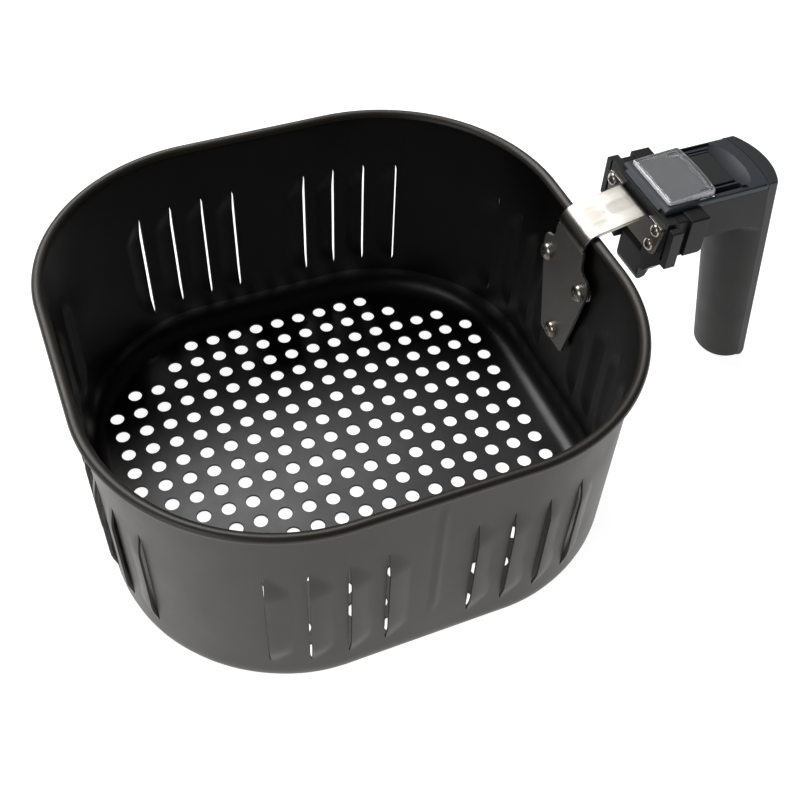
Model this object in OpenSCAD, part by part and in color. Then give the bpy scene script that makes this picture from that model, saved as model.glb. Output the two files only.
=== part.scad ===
// Removable perforated frying basket with a bolted-on latch handle.
// Units are millimetres. +Z is up, the handle points along -Y, and the
// origin is the centre of the basket's resting face.

/* [Basket] */
// Outside half width of the basket wall, across the handle axis
wall_x = 102.1; // [98:0.1:106]
// Outside half length of the basket wall, along the handle axis
wall_y = 105.7; // [104:0.1:108]
// Height of the basket from its resting face to the top of the rim
rim_h = 105.2; // [103:0.1:107]
// Sheet thickness of the basket
sheet = 1.0; // [0.8:0.1:1.2]
// Radius of the basket's vertical corners, outside
corner_r = 73.5; // [70:0.5:76]
// Radius between the wall and the floor, outside
foot_r = 12; // [10:0.5:13]
// Radius of the rolled bead along the rim
bead_r = 1.8; // [1.4:0.1:1.9]

/* [Perforation] */
// Pitch of the floor's square hole pattern
hole_pitch = 11; // [10.5:0.1:11.2]
// Diameter of the floor holes
hole_d = 6.2; // [4:0.1:7]

/* [Louvres] */
// Height of the louvres' lower end
louvre_z0 = 18.6; // [16:0.1:24]
// Height of the louvres' upper end
louvre_z1 = 77.4; // [60:0.1:80]
// How far a louvre stands out of the wall
louvre_out = 1.9; // [1.4:0.1:2.2]

/* [Bracket] */
// Thickness of the stainless bracket
strap_t = 1.5; // [1.2:0.1:1.6]
// Half width of the strap between the rim and the handle
strap_hw = 10.4; // [9:0.1:11]

/* [Handle] */
// Half width of the handle at its top
handle_hw = 16.65; // [16.2:0.05:17.2]
// Half width of the grip at its lower end
grip_hw = 13.2; // [12:0.1:14]
// Height of the handle's top face
top_z = 117.6; // [117.4:0.1:118]
// Outward lean of the grip, in millimetres per millimetre of height
lean = 0.195; // [0.17:0.005:0.21]

/* [Moving parts] */
// Half width of the release button
button_hw = 9.9; // [9:0.1:10]
// Radius of the lever pin
pin_r = 1.5; // [1.2:0.1:1.6]

/* [Hidden] */
$fn = 48;
eps = 0.01;

// ---- basket outline: straight sides joined by quarter arcs ------------------
cx = wall_x - corner_r;
cy = wall_y - corner_r;

// one quarter of the outline, grown outwards by d, from +X to +Y
function quarter(d) = [for (i = [0:24]) let(a = 90*i/24) [cx + (corner_r + d)*cos(a), cy + (corner_r + d)*sin(a)]];
function outline(d) = let(q = quarter(d), n = len(q)) concat(
  q,
  [for (i = [n-1:-1:0]) [-q[i][0], q[i][1]]],
  [for (i = [0:n-1]) [-q[i][0], -q[i][1]]],
  [for (i = [n-1:-1:0]) [q[i][0], -q[i][1]]]);

// point and normal angle on a side, at distance t along it from mid-side
function on_x(t) = let(at = abs(t)) at < cy ? [wall_x, t, 0]
  : let(a = asin((at - cy)/corner_r)) [cx + corner_r*cos(a), t, sign(t)*a];
function on_y(t) = let(at = abs(t)) at < cx ? [t, wall_y, 90]
  : let(a = asin((at - cx)/corner_r)) [t, cy + corner_r*cos(a), 90 - sign(t)*a];

// wall section: offset from the wall's outer face, height
bead_z = rim_h - bead_r;
section = concat(
  [[-foot_r - 1, sheet], [-foot_r - 1, 0]],
  [for (i = [0:6]) [-foot_r + foot_r*sin(15*i), foot_r - foot_r*cos(15*i)]],
  [for (i = [0:14]) let(a = 200 + i*250/14) [1.7 + bead_r*cos(a), bead_z + bead_r*sin(a)]],
  [[0.3, rim_h - 0.5], [-0.6, rim_h - 1.4], [-sheet, rim_h - 3.2]],
  [for (i = [6:-1:0]) [-foot_r + (foot_r - sheet)*sin(15*i), foot_r - (foot_r - sheet)*cos(15*i)]]);

module side_wall(w, half) translate([w, 0, 0]) rotate([90, 0, 0]) translate([0, 0, -half])
  linear_extrude(2*half) polygon(section);
module corner_wall() rotate_extrude(angle = 90, $fn = 96) translate([corner_r, 0]) polygon(section);
module wall_ring() {
  for (a = [0, 180]) rotate([0, 0, a]) side_wall(wall_x, cy);
  for (a = [90, 270]) rotate([0, 0, a]) side_wall(wall_y, cx);
  translate([cx, cy, 0]) corner_wall();
  translate([-cx, cy, 0]) rotate([0, 0, 90]) corner_wall();
  translate([-cx, -cy, 0]) rotate([0, 0, 180]) corner_wall();
  translate([cx, -cy, 0]) rotate([0, 0, 270]) corner_wall();
}

// half count of holes to each side in each row of the floor
function row_half(j) = let(k = abs(j)) k == 8 ? 4 : k == 7 ? 5 : k == 6 ? 7 : 8;

module floor_plate() difference() {
  linear_extrude(sheet) polygon(outline(-foot_r - 0.6));
  for (j = [-8:8]) for (i = [-row_half(j):row_half(j)])
    translate([j*hole_pitch, i*hole_pitch, -1]) cylinder(h = 3, d = hole_d, $fn = 24);
}

// louvre in its own frame: +X out of the wall, open edge towards -Y
module hood(z0, z1) translate([0, 0, z0]) linear_extrude(z1 - z0)
  polygon([[-0.4, 4.8], [0.05, 4.8], [louvre_out - 0.5, 2.2], [louvre_out, -0.6], [louvre_out + 0.05, -3.4],
    [louvre_out - 0.9, -3.4], [-0.4, -3.4]]);
module scoop(z0, z1) translate([0, 0, z0 + 1]) linear_extrude(z1 - z0 - 2)
  polygon([[-2, 4.4], [-1, 4.2], [louvre_out - 1.4, 1.6], [louvre_out - 0.95, -0.8], [louvre_out - 0.9, -3.41], [louvre_out - 0.9, -4.3], [-2, -4.3]]);

slots = [17, 31.4, 45.9, 60.5];
short_z1 = 66;   // the pair behind the bracket is shorter, to clear its nuts
module at_louvres(side) for (k = [0:3]) for (s = [1, -1]) {
  p = side < 2 ? on_x(s*slots[k]) : on_y(s*slots[k]);
  back = side == 1 || side == 3;
  translate([back ? -p[0] : p[0], back ? -p[1] : p[1], 0]) rotate([0, 0, p[2] + (back ? 180 : 0)])
    children(side == 3 && k == 0 ? 1 : 0);
}

module basket_shell() color([0.10, 0.10, 0.10]) difference() {
  union() {
    wall_ring();
    floor_plate();
    for (side = [0:3]) at_louvres(side) { hood(louvre_z0, louvre_z1); hood(louvre_z0, short_z1); }
  }
  for (side = [0:3]) at_louvres(side) { scoop(louvre_z0, louvre_z1); scoop(louvre_z0, short_z1); }
  for (p = bracket_holes) translate([p[0], -wall_y + 4, p[1]]) rotate([90, 0, 0]) cylinder(h = 8, d = 4.3);
}

// ---- everything from here on is drawn with +Y outwards and then mirrored ----
module out() mirror([0, 1, 0]) children();
// side profile, points are [outwards, up], centred on x = 0
module side_cut(w) rotate([90, 0, 90]) translate([0, 0, -w/2]) linear_extrude(w) children();
// front profile, points are [x, up], from v0 to v1 outwards
module front_cut(v0, v1) translate([0, v1, 0]) rotate([90, 0, 0]) linear_extrude(v1 - v0) children();
function both(l) = concat(l, [for (i = [len(l)-1:-1:0]) [-l[i][0], l[i][1]]]);

bracket_holes = [[-13.85, 80.2], [13.85, 80.2], [0, 45.5]];
plate_in = 101.3;                     // inner face of the bracket plate
plate_out = plate_in + strap_t;
wall_in = wall_y - sheet;
drop_v = 129.3;                       // basket side of the bracket's drop plate
face_v = drop_v + strap_t;            // front plane of the handle
plate_holes = [[17.4, 109.0], [15.4, 100.4]];

// bend over the rim: arc centre, inner radius, slope of the strap
bc = [108.7, 100.2];
br = 5.9;
slope = 11.6;
strap_end = [drop_v - 1.7, 0];
function arc_pt(c, r, a) = [c[0] + r*cos(a), c[1] + r*sin(a)];
low0 = arc_pt(bc, br, 90 + slope);
up0 = arc_pt(bc, br + strap_t, 90 + slope);
tl = tan(slope);
r2 = 1.4;                              // inside radius of the outer bend
// centre of the outer bend lies below the strap's lower line
oc = [drop_v - r2, low0[1] + (drop_v - r2 - low0[0])*tl - r2/cos(slope)];
strap_profile = concat(
  [[plate_in, 96], [plate_out, 96]],
  [for (i = [0:10]) arc_pt(bc, br, 180 - (90 - slope)*i/10)],
  [for (i = [0:6]) arc_pt(oc, r2, 90 + slope - (90 + slope)*i/6)],
  [[drop_v, 104], [drop_v + strap_t, 104]],
  [for (i = [6:-1:0]) arc_pt(oc, r2 + strap_t, 90 + slope - (90 + slope)*i/6)],
  [for (i = [10:-1:0]) arc_pt(bc, br + strap_t, 180 - (90 - slope)*i/10)]);

module handle_bracket() color([0.80, 0.79, 0.76]) out() difference() {
  union() {
    side_cut(2*strap_hw) polygon(strap_profile);
    front_cut(plate_in, plate_out) polygon(both([[9.3, 39.5], [14.1, 61.5], [17.6, 77.5], [18.6, 82], [18.6, 85.6], [17.2, 88],
      [14.2, 89], [12.2, 90.2], [11.2, 92.5], [11, 97.5], [strap_hw, 99.5]]));
    front_cut(drop_v, face_v) polygon(both([[17.2, 96.2], [18.4, 97.2], [21.3, 110.4], [20.5, 111.4], [strap_hw, 111.4]]));
  }
  for (p = bracket_holes) translate([p[0], plate_in - 3, p[1]]) rotate([-90, 0, 0]) cylinder(h = 8, d = 4.3);
  for (s = [1, -1]) for (p = plate_holes) translate([s*p[0], drop_v - 3, p[1]]) rotate([-90, 0, 0]) cylinder(h = 8, d = 3.2);
}

module ring_v(x, v, z, od, id, l) translate([x, v, z]) rotate([-90, 0, 0]) difference() {
  cylinder(h = l, d = od);
  translate([0, 0, -1]) cylinder(h = l + 2, d = id);
}
module bracket_spacers() color([0.75, 0.75, 0.74]) out() for (p = bracket_holes) {
  ring_v(p[0], plate_out, p[1], 9, 4.3, (wall_in - plate_out)/2 - 0.1);
  ring_v(p[0], plate_out + (wall_in - plate_out)/2 + 0.1, p[1], 9, 4.3, (wall_in - plate_out)/2 - 0.1);
  ring_v(p[0], plate_out + (wall_in - plate_out)/2 - 0.1, p[1], 7.2, 4.3, 0.2);
}

// pan-head screw: head at v0 (outside the surface, towards -v), shank outwards
module pan_screw(x, v, z, head_d, head_h, shank_d, len) translate([x, v, z]) rotate([-90, 0, 0]) difference() {
  union() {
    translate([0, 0, -head_h]) rotate_extrude() polygon([[0, 0], [head_d*0.30, 0], [head_d*0.44, head_h*0.3], [head_d*0.5, head_h*0.7], [head_d*0.5, head_h], [0, head_h]]);
    cylinder(h = len, d = shank_d);
  }
  for (a = [0, 90]) rotate([0, 0, a]) translate([-head_d*0.26, -head_d*0.055, -head_h - 1]) cube([head_d*0.52, head_d*0.11, head_h*0.55 + 1]);
}
module bracket_screws() color([0.78, 0.77, 0.75]) out() for (p = bracket_holes)
  pan_screw(p[0], plate_in, p[1], 7.9, 2.9, 4, wall_y - plate_in + 5.0);
module nut_washers() color([0.72, 0.72, 0.70]) out() for (p = bracket_holes)
  ring_v(p[0], wall_y + 0.02, p[1], 8.6, 4.3, 0.8);
module bracket_nuts() color([0.72, 0.72, 0.70]) out() for (p = bracket_holes)
  translate([p[0], wall_y + 0.82, p[1]]) rotate([-90, 0, 0]) difference() {
    cylinder(h = 3.2, d = 7/cos(30), $fn = 6);
    translate([0, 0, -1]) cylinder(h = 6, d = 4.04);
  }

// ---- handle ----------------------------------------------------------------
plate_v1 = 135.8;                      // back of the front plate
neck_v1 = 140.3;                       // end of the groove that the pan's front drops into
wing_v1 = 148.9;
seam_top = 181.4;
function seam(z) = seam_top + (top_z - z)*lean;
panel_z = 115.0;                       // underside of the top panel
body_z = 96.5;                         // underside of the housing
side_t = 2.3;

module front_plate() color([0.20, 0.20, 0.20]) out() difference() {
  front_cut(face_v, plate_v1) polygon(both([[9.7, 82.2], [14.2, 83.8], [18.7, 90], [23.2, 94.9], [26.6, 94.9], [26.6, 113.5],
    [22.4, 113.5], [22.4, 114.8]]));
  // mouth for the latch lever
  front_cut(face_v - 1, plate_v1 + 1) polygon(both([[9.7, 80], [9.7, 94.6], [8.6, 96.0]]));
  translate([0, face_v + 2.3, 0]) front_cut(0, 5) polygon(both([[9.7, 90], [9.7, 104]]));
  // relief grooves beside the bracket's drop plate
  for (s = [1, -1]) translate([s*22.8 - 0.6, face_v - 1, 97]) cube([1.2, 3.4, 15]);
  for (s = [1, -1]) translate([s*22.8 - 0.6, face_v - 1, 111.9]) cube([1.2, 10, 4]);
  for (s = [1, -1]) for (p = plate_holes) translate([s*p[0], face_v - 1, p[1]]) rotate([-90, 0, 0]) cylinder(h = 9, d = 3.2);
}
module plate_screws() color([0.78, 0.76, 0.72]) out() for (s = [1, -1]) for (p = plate_holes)
  pan_screw(s*p[0], drop_v, p[1], 5.4, 1.9, 3, 13);

// D-shaped slice of the grip: flat towards the seam, round towards the basket
module d_slice(z, hw, depth, grow, back) translate([0, seam(z) + back, z - 0.05]) linear_extrude(0.1)
  intersection() {
    scale([1, (depth + grow)/(hw + grow)]) circle(r = hw + grow, $fn = 40);
    translate([-30, -60]) square([60, 60]);
  }
// slice of the rear cover: arc outside, straight seam
module r_slice(z, hw, edge, bow, grow, front) translate([0, seam(z), z - 0.05]) linear_extrude(0.1)
  let(r = (hw*hw + bow*bow)/(2*bow)) intersection() {
    translate([0, edge + bow - r]) circle(r = r - grow, $fn = 120);
    translate([-hw + grow, front]) square([2*(hw - grow), 30]);
  }

grip_z0 = 2.6;
module handle_body() color([0.23, 0.23, 0.24]) out() union() {
  body_bosses();
  difference() {
  union() {
    // neck, wings and housing
    front_cut(plate_v1, neck_v1) polygon(both([[22.4, 96.2], [22.4, 114.8]]));
    difference() {
      front_cut(neck_v1 - 0.1, wing_v1) polygon(both([[24.4, 97.2], [24.4, 115.6], [16.85, 115.6], [16.85, 114.8]]));
      for (s = [1, -1]) translate([s*21.2, 0, 0]) side_cut(8) polygon([[145.4, 97.1], [147.7, 98.1], [148.7, 100.4], [149.0, 103.0], [150, 103], [150, 96], [145.4, 96]]);
    }
    side_cut(2*handle_hw) polygon([[wing_v1 - 1, body_z], [wing_v1 - 1, 114.8], [seam(114.8), 114.8], [seam(body_z), body_z]]);
    // grip
    hull() {
      d_slice(body_z + 1.5, handle_hw, 14.2, 0, 0);
      d_slice(grip_z0 + 3, grip_hw, 14, 0, 0);
      d_slice(grip_z0 + 0.05, grip_hw, 14, -1.6, 0);
    }
  }
  // inside of the housing
  side_cut(2*(handle_hw - side_t)) polygon([[wing_v1 - 3, 99.2], [wing_v1 - 3, 118], [seam(118) + 1, 118], [seam(99.2) + 1, 99.2]]);
  // inside of the head, behind the front plate
  front_cut(plate_v1 - 1, wing_v1 - 2.5) polygon(both([[20.4, 99.6], [20.4, 111.4], [handle_hw - side_t, 112.8], [handle_hw - side_t, 118]]));
  // slot that the lever hangs through
  front_cut(plate_v1 - 1, 147) polygon(both([[9.7, 90], [9.7, 104]]));
  // inside of the grip
  hull() {
    d_slice(98.6, handle_hw - 2.6, 11.6, 0, 0.06);
    d_slice(grip_z0 + 3.4, grip_hw - 2.6, 11.4, 0, 0.06);
  }
  // hole for the lower cover screw
  translate([0, seam(grip_z0) - 5.2, grip_z0 - 2]) cylinder(h = 8, d = 3.2);
  translate([0, seam(grip_z0) - 5.2, grip_z0 - 2]) cylinder(h = 3.2, d = 6);
  // room for the bosses
  for (s = [1, -1]) for (p = plate_holes) translate([s*p[0], plate_v1 - 1, p[1]]) rotate([-90, 0, 0]) cylinder(h = 13.5, d = 6.0);
}
}

// bosses that the plate screws bite into
module body_bosses() for (s = [1, -1]) for (p = plate_holes)
  difference() {
    union() {
      translate([s*p[0], plate_v1 + 0.02, p[1]]) rotate([-90, 0, 0]) cylinder(h = 12, d = 6.4);
      if (p[1] > 105) translate([s*p[0] - 1, plate_v1 + 0.02, p[1] + 2]) cube([2, 12, 3.2]);
    }
    translate([s*p[0], plate_v1 - 1, p[1]]) rotate([-90, 0, 0]) cylinder(h = 14, d = 3.04);
  }

// top panel with the button opening and the guard's two slots
btn_v0 = 155.0;
btn_v1 = 169.05;
slot_x0 = 11.5;
slot_x1 = 13.5;
slot_v0 = 150.0;
slot_v1 = 170.6;
module rounded_box(x, v0, v1, z0, z1, r) translate([0, 0, z0]) linear_extrude(z1 - z0) union() {
  translate([-x + r, v0]) square([2*(x - r), v1 - v0]);
  translate([-x, v0 + r]) square([2*x, v1 - v0 - 2*r]);
  for (s = [1, -1]) for (v = [v0 + r, v1 - r]) translate([s*(x - r), v]) circle(r = r);
}
// the panel's rear edge bows over the rear cover
tongue_r = (handle_hw*handle_hw + 2.3*2.3)/4.6;
module panel_tongue(z0, z1, grow) translate([0, 0, z0]) linear_extrude(z1 - z0) intersection() {
  translate([0, seam_top - 0.15 + 2.3 - tongue_r]) circle(r = tongue_r + grow, $fn = 240);
  translate([-handle_hw + 0.02 - grow, seam_top - 1]) square([2*(handle_hw - 0.02 + grow), 6]);
}
module top_panel() color([0.24, 0.26, 0.30]) out() difference() {
  union() {
    side_cut(2*handle_hw) polygon([[face_v + 0.4, 114.9], [face_v + 0.4, 115.6], [face_v + 2.2, 117.1], [face_v + 4, top_z],
      [seam_top - 0.15, top_z], [seam(panel_z) - 0.15, panel_z], [face_v + 4.4, panel_z], [face_v + 4.4, 114.9]]);
    panel_tongue(panel_z, top_z, 0);
    // bosses for the lever bracket's screws
    for (s = [1, -1]) translate([s*7.6, 146, 111.6]) cylinder(h = 4, d = 5.6);
    // locating rib inside the housing
    for (s = [1, -1]) translate([s*13.4 - 0.4, 172, 112.8]) cube([0.8, 6.5, 3]);
    // post for the upper cover screw
    translate([0, 177.2, 108.4]) cylinder(h = 7, d = 6);
  }
  rounded_box(button_hw + 0.75, btn_v0 - 0.5, btn_v1 + 0.9, 100, 130, 1.8);
  for (s = [1, -1]) translate([s*(slot_x0 + slot_x1)/2 - (slot_x1 - slot_x0)/2, slot_v0, 100]) cube([slot_x1 - slot_x0, slot_v1 - slot_v0, 30]);
  // shallow tracks for the guard's sides
  for (s = [1, -1]) translate([s > 0 ? 13.3 : -15.6, 135.8, top_z - 1.0]) cube([2.3, 36.6, 5]);
  // corners of the front lip
  for (s = [1, -1]) translate([s > 0 ? 13.2 : -18.2, face_v - 1, 114]) cube([5, 2.5, 5]);
  // thumb scoop behind the button
  translate([0, 172.3, top_z + 11.2]) rotate([0, 90, 0]) rotate_extrude($fn = 180)
    polygon(concat([[0, -13.6], [0, 13.6]], [for (i = [8:-1:-8]) let(h = 1.7*i) [12.8 - h*h/123.2, h]]));
  // screw holes from below
  for (s = [1, -1]) translate([s*7.6, 146, 100]) cylinder(h = 15.6, d = 2.24);
  translate([0, 177.2, 100]) cylinder(h = 15.4, d = 2.54);
}

module rear_cover() color([0.22, 0.22, 0.23]) out() difference() {
  union() {
    difference() {
      hull() {
        r_slice(top_z - 0.05, handle_hw, 4.4, 4.8, 0, 0.15);
        r_slice(grip_z0 + 3, grip_hw, 3.6, 4.4, 0, 0.15);
        r_slice(grip_z0 + 0.05, grip_hw, 2.4, 4.2, 1.0, 0.15);
      }
      hull() {
        r_slice(top_z - 2.6, handle_hw, 4.4, 4.8, 2.3, -1);
        r_slice(grip_z0 + 2.5, grip_hw, 3.6, 4.4, 2.3, -1);
      }
    }
    // ear under the top panel's post
    translate([-5, 173.4, 105.4]) cube([10, seam(106) + 8 - 173.4, 2.6]);
    // boss above the grip's lower screw
    translate([-4, seam(8.4) - 9.0, 6.3]) cube([8, 16, 7]);
  }
  translate([0, 177.2, 100]) cylinder(h = 10, d = 3.2);
  translate([0, seam(grip_z0) - 5.2, 5]) cylinder(h = 7, d = 2.54);
  panel_tongue(panel_z - 0.15, top_z + 1, 0.15);
}
module up_screw(x, v, z, head_d, head_h, d, len) translate([x, v, z]) mirror([0, 0, 0]) union() {
  translate([0, 0, -head_h]) cylinder(h = head_h, d1 = head_d*0.8, d2 = head_d);
  cylinder(h = len, d = d);
}
module cover_screws() color([0.45, 0.45, 0.45]) out() {
  up_screw(0, 177.2, 105.4, 5.4, 1.8, 2.5, 9);
  up_screw(0, seam(grip_z0) - 5.2, grip_z0 + 1.2, 5.4, 1.0, 2.5, 8);
}

// ---- release mechanism -------------------------------------------------------
piv = [146, 106];
module lever_bracket() color([0.66, 0.66, 0.66]) out() difference() {
  union() {
    for (s = [1, -1]) translate([s*11.1 - 0.8, 141.2, 99.8]) cube([1.6, 9.0, 10.2]);
    translate([-11.9, 141.2, 109.9]) cube([23.8, 9.0, 1.6]);
  }
  translate([-20, piv[0], piv[1]]) rotate([0, 90, 0]) cylinder(h = 40, r = pin_r + 0.02);
  for (s = [1, -1]) translate([s*7.6, 146, 105]) cylinder(h = 8, d = 2.7);
}
module bracket_top_screws() color([0.5, 0.5, 0.5]) out() for (s = [1, -1])
  up_screw(s*7.6, 146, 109.9, 4.2, 1.4, 2.2, 5.4);
module lever_pin() color([0.75, 0.75, 0.75]) out() translate([0, piv[0], piv[1]]) rotate([0, 90, 0]) {
  cylinder(h = 26.4, r = pin_r, center = true);
}
module pin_clips() color([0.3, 0.3, 0.3]) out() for (s = [1, -1])
  translate([s*12.35, piv[0], piv[1]]) rotate([0, 90, 0]) difference() {
    cylinder(h = 0.6, d = 6, center = true);
    cylinder(h = 2, r = pin_r + 0.02, center = true);
    translate([-1.2, 0, -1]) cube([2.4, 5, 2]);
  }
module latch_lever() color([0.17, 0.17, 0.18]) out() difference() {
  union() {
    // tongue that hangs below the handle and hooks the pan
    side_cut(16.8) polygon([[132.6, 75.6], [132.6, 88], [137.4, 96.6], [141.4, 99.4], [141.4, 96], [139.2, 90], [139.2, 77.6], [137.6, 73.4], [135.0, 72.4], [133.4, 73.2]]);
    // stem and arm
    side_cut(10) polygon([[137.4, 96.6], [139.6, 103.4], [142.4, 108.2], [146, 109.2], [149.2, 107.6], [165.4, 107.2], [165.4, 104.4], [150.4, 104.2],
      [147.4, 102.4], [141.4, 98.0]]);
    // side pads that keep the lever centred between the cheeks
    translate([0, piv[0], piv[1]]) rotate([0, 90, 0]) cylinder(h = 20, r = 2.2, center = true);
  }
  translate([0, piv[0], piv[1]]) rotate([0, 90, 0]) cylinder(h = 40, r = pin_r + 0.05, center = true);
}
btn_top = 118.0;
module release_button() color([0.20, 0.22, 0.21]) out() union() {
  difference() {
    rounded_box(button_hw, btn_v0, btn_v1, 112.4, btn_top, 1.4);
    translate([-button_hw + 1.6, btn_v0 + 1.6, 111]) cube([2*button_hw - 3.2, btn_v1 - btn_v0 - 3.2, 5.2]);
  }
  // skirt that stops the button under the panel
  difference() {
    translate([-11.3, btn_v0 - 1.5, 112.4]) cube([22.6, btn_v1 - btn_v0 + 3.0, 1.4]);
    translate([-button_hw + 1.6, btn_v0 + 1.6, 111]) cube([2*button_hw - 3.2, btn_v1 - btn_v0 - 3.2, 5.2]);
  }
  // stem down to the lever
  translate([0, 162, 109.2]) cylinder(h = 7, d = 5);
  translate([0, 162, 107.5]) cylinder(h = 3, d = 2);
  translate([-button_hw + 1, 161.2, 112.4]) cube([2*button_hw - 2, 1.6, 4]);
}

// coil between the housing floor and the lever's arm
function coil_pt(r, a, z0, rise) = [r*cos(a), r*sin(a), z0 + rise*a/360];
coil_n = 66;
coil_r = 2.9;
wire_r = 0.35;
module latch_spring() color([0.7, 0.7, 0.7]) out() translate([0, 161, 0]) {
  turns = 2.75;
  z0 = 99.2 + wire_r + 0.05;
  rise = (104.25 - 2*wire_r - 0.1 - 99.2)/turns;
  pts = [for (i = [0:coil_n]) let(a = 360*turns*i/coil_n) for (k = [0:7]) let(b = 45*k)
    [(coil_r + wire_r*cos(b))*cos(a), (coil_r + wire_r*cos(b))*sin(a), z0 + rise*a/360 + wire_r*sin(b)]];
  faces = concat(
    [[for (k = [0:7]) k]],
    [for (i = [0:coil_n-1]) for (k = [0:7]) [i*8 + k, (i+1)*8 + k, (i+1)*8 + (k+1)%8, i*8 + (k+1)%8]],
    [[for (k = [7:-1:0]) coil_n*8 + k]]);
  polyhedron(points = pts, faces = faces);
}

// ---- sliding guard over the button --------------------------------------------
grd_v0 = 134.7;
grd_v1 = 157.3;
grd_hw = 14.8;
module button_guard() color([0.80, 0.84, 0.88, 0.45]) out() union() {
  difference() {
    side_cut(2*grd_hw) polygon([[grd_v0 + 1.0, top_z + 0.15], [grd_v0, top_z + 0.9], [grd_v0 + 0.9, top_z + 1.6], [grd_v1 - 1.6, top_z + 2.9], [grd_v1, top_z + 2.4], [grd_v1, top_z + 0.15]]);
    side_cut(2*grd_hw - 2.4) polygon([[grd_v0 + 2, top_z], [grd_v0 + 2.2, top_z + 0.85], [grd_v1 - 2.2, top_z + 1.95], [grd_v1 + 2, top_z + 1.6], [grd_v1 + 2, top_z]]);
  }
  // feet that run in the panel's slots, with hooks under the panel
  for (s = [1, -1]) {
    translate([s*12.45 - 0.6, 150.4, 112.6]) cube([1.2, 6.0, top_z + 2.2 - 112.6]);
    translate([s > 0 ? 11.85 : -14.05, 150.4, 112.6]) cube([2.2, 6.0, 2.0]);
    // sides that stand in the panel's tracks
    translate([s*14.2 - 0.6, 136.2, top_z - 0.85]) cube([1.2, 20.0, 1.6]);
  }
}
basket_shell();
handle_bracket();
bracket_spacers();
bracket_screws();
nut_washers();
bracket_nuts();
front_plate();
plate_screws();
handle_body();
top_panel();
rear_cover();
cover_screws();
lever_bracket();
bracket_top_screws();
lever_pin();
pin_clips();
button_guard();
release_button();
latch_lever();
latch_spring();
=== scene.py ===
import bpy
import bmesh
import math
from mathutils import Matrix, Vector
from mathutils.geometry import delaunay_2d_cdt


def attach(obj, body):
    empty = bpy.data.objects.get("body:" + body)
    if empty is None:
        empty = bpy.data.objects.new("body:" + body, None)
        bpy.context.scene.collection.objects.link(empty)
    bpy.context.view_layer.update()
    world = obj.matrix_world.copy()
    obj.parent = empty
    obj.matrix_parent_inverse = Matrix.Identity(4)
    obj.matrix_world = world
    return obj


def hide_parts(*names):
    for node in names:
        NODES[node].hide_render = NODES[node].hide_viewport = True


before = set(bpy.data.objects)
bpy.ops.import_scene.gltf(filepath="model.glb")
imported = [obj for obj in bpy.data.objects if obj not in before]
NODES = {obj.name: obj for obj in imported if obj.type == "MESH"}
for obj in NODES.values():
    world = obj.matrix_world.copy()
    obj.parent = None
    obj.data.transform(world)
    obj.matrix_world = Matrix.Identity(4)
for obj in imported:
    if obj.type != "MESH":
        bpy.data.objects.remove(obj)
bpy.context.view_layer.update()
MM = 0.001
pi = math.pi

# ------------------------------------------------------------------ camera --
cam_data = bpy.data.cameras.new("camera")
cam_data.sensor_width = 36.0
cam_data.sensor_fit = "HORIZONTAL"
cam_data.lens = 50.613
cam_data.clip_start = 0.01
cam = bpy.data.objects.new("camera", cam_data)
bpy.context.scene.collection.objects.link(cam)
right = Vector((-0.3816103, -0.9235572, 0.0376263))
up = Vector((0.7125523, -0.2680072, 0.6484145))
back = right.cross(up).normalized()
up = back.cross(right).normalized()
rot = Matrix((right, up, back)).transposed().to_4x4()
cam.matrix_world = Matrix.Translation((-0.2920588, 0.1073536, 0.4038046)) @ rot
bpy.context.scene.camera = cam


# ----------------------------------------------------------- mesh helpers --
def shade(bm, sharp):
    for f in bm.faces:
        f.smooth = True
    lim = math.radians(sharp)
    for e in bm.edges:
        if len(e.link_faces) == 2:
            e.smooth = e.calc_face_angle(0.0) < lim
        else:
            e.smooth = False


def make(name, verts, faces, sharp=32.0, weld=1e-7, scale=MM):
    me = bpy.data.meshes.new(name)
    me.from_pydata([(x * scale, y * scale, z * scale) for x, y, z in verts], [], faces)
    bm = bmesh.new()
    bm.from_mesh(me)
    if weld:
        bmesh.ops.remove_doubles(bm, verts=bm.verts, dist=weld)
    bmesh.ops.recalc_face_normals(bm, faces=bm.faces)
    shade(bm, sharp)
    bm.to_mesh(me)
    bm.free()
    me.validate()
    o = bpy.data.objects.new(name, me)
    bpy.context.scene.collection.objects.link(o)
    return o


def reshade(o, sharp=32.0, weld=2e-6):
    bm = bmesh.new()
    bm.from_mesh(o.data)
    bmesh.ops.remove_doubles(bm, verts=bm.verts, dist=weld)
    bmesh.ops.dissolve_degenerate(bm, edges=bm.edges, dist=1e-7)
    shade(bm, sharp)
    bm.to_mesh(o.data)
    bm.free()


def apply_mods(o):
    dg = bpy.context.evaluated_depsgraph_get()
    dg.update()
    me = bpy.data.meshes.new_from_object(o.evaluated_get(dg))
    o.modifiers.clear()
    old = o.data
    o.data = me
    bpy.data.meshes.remove(old)


def drop(o):
    bpy.data.objects.remove(o, do_unlink=True)


def boolean(a, b, op="DIFFERENCE", keep=False):
    m = a.modifiers.new("b", "BOOLEAN")
    m.operation = op
    m.solver = "EXACT"
    m.object = b
    apply_mods(a)
    if not keep:
        drop(b)
    return a


def join(name, objs):
    """one mesh from several, each kept as its own shell"""
    verts, faces, n = [], [], 0
    for o in objs:
        me = o.data
        verts += [tuple(v.co) for v in me.vertices]
        faces += [[n + i for i in p.vertices] for p in me.polygons]
        n += len(me.vertices)
    for o in objs:
        drop(o)
    return make(name, verts, faces, weld=0, scale=1.0)


def ccw(poly):
    a = sum(poly[i - 1][0] * poly[i][1] - poly[i][0] * poly[i - 1][1] for i in range(len(poly)))
    return list(poly) if a > 0 else list(reversed(poly))


def both(half):
    return list(half) + [(-x, z) for x, z in reversed(half)]


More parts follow.
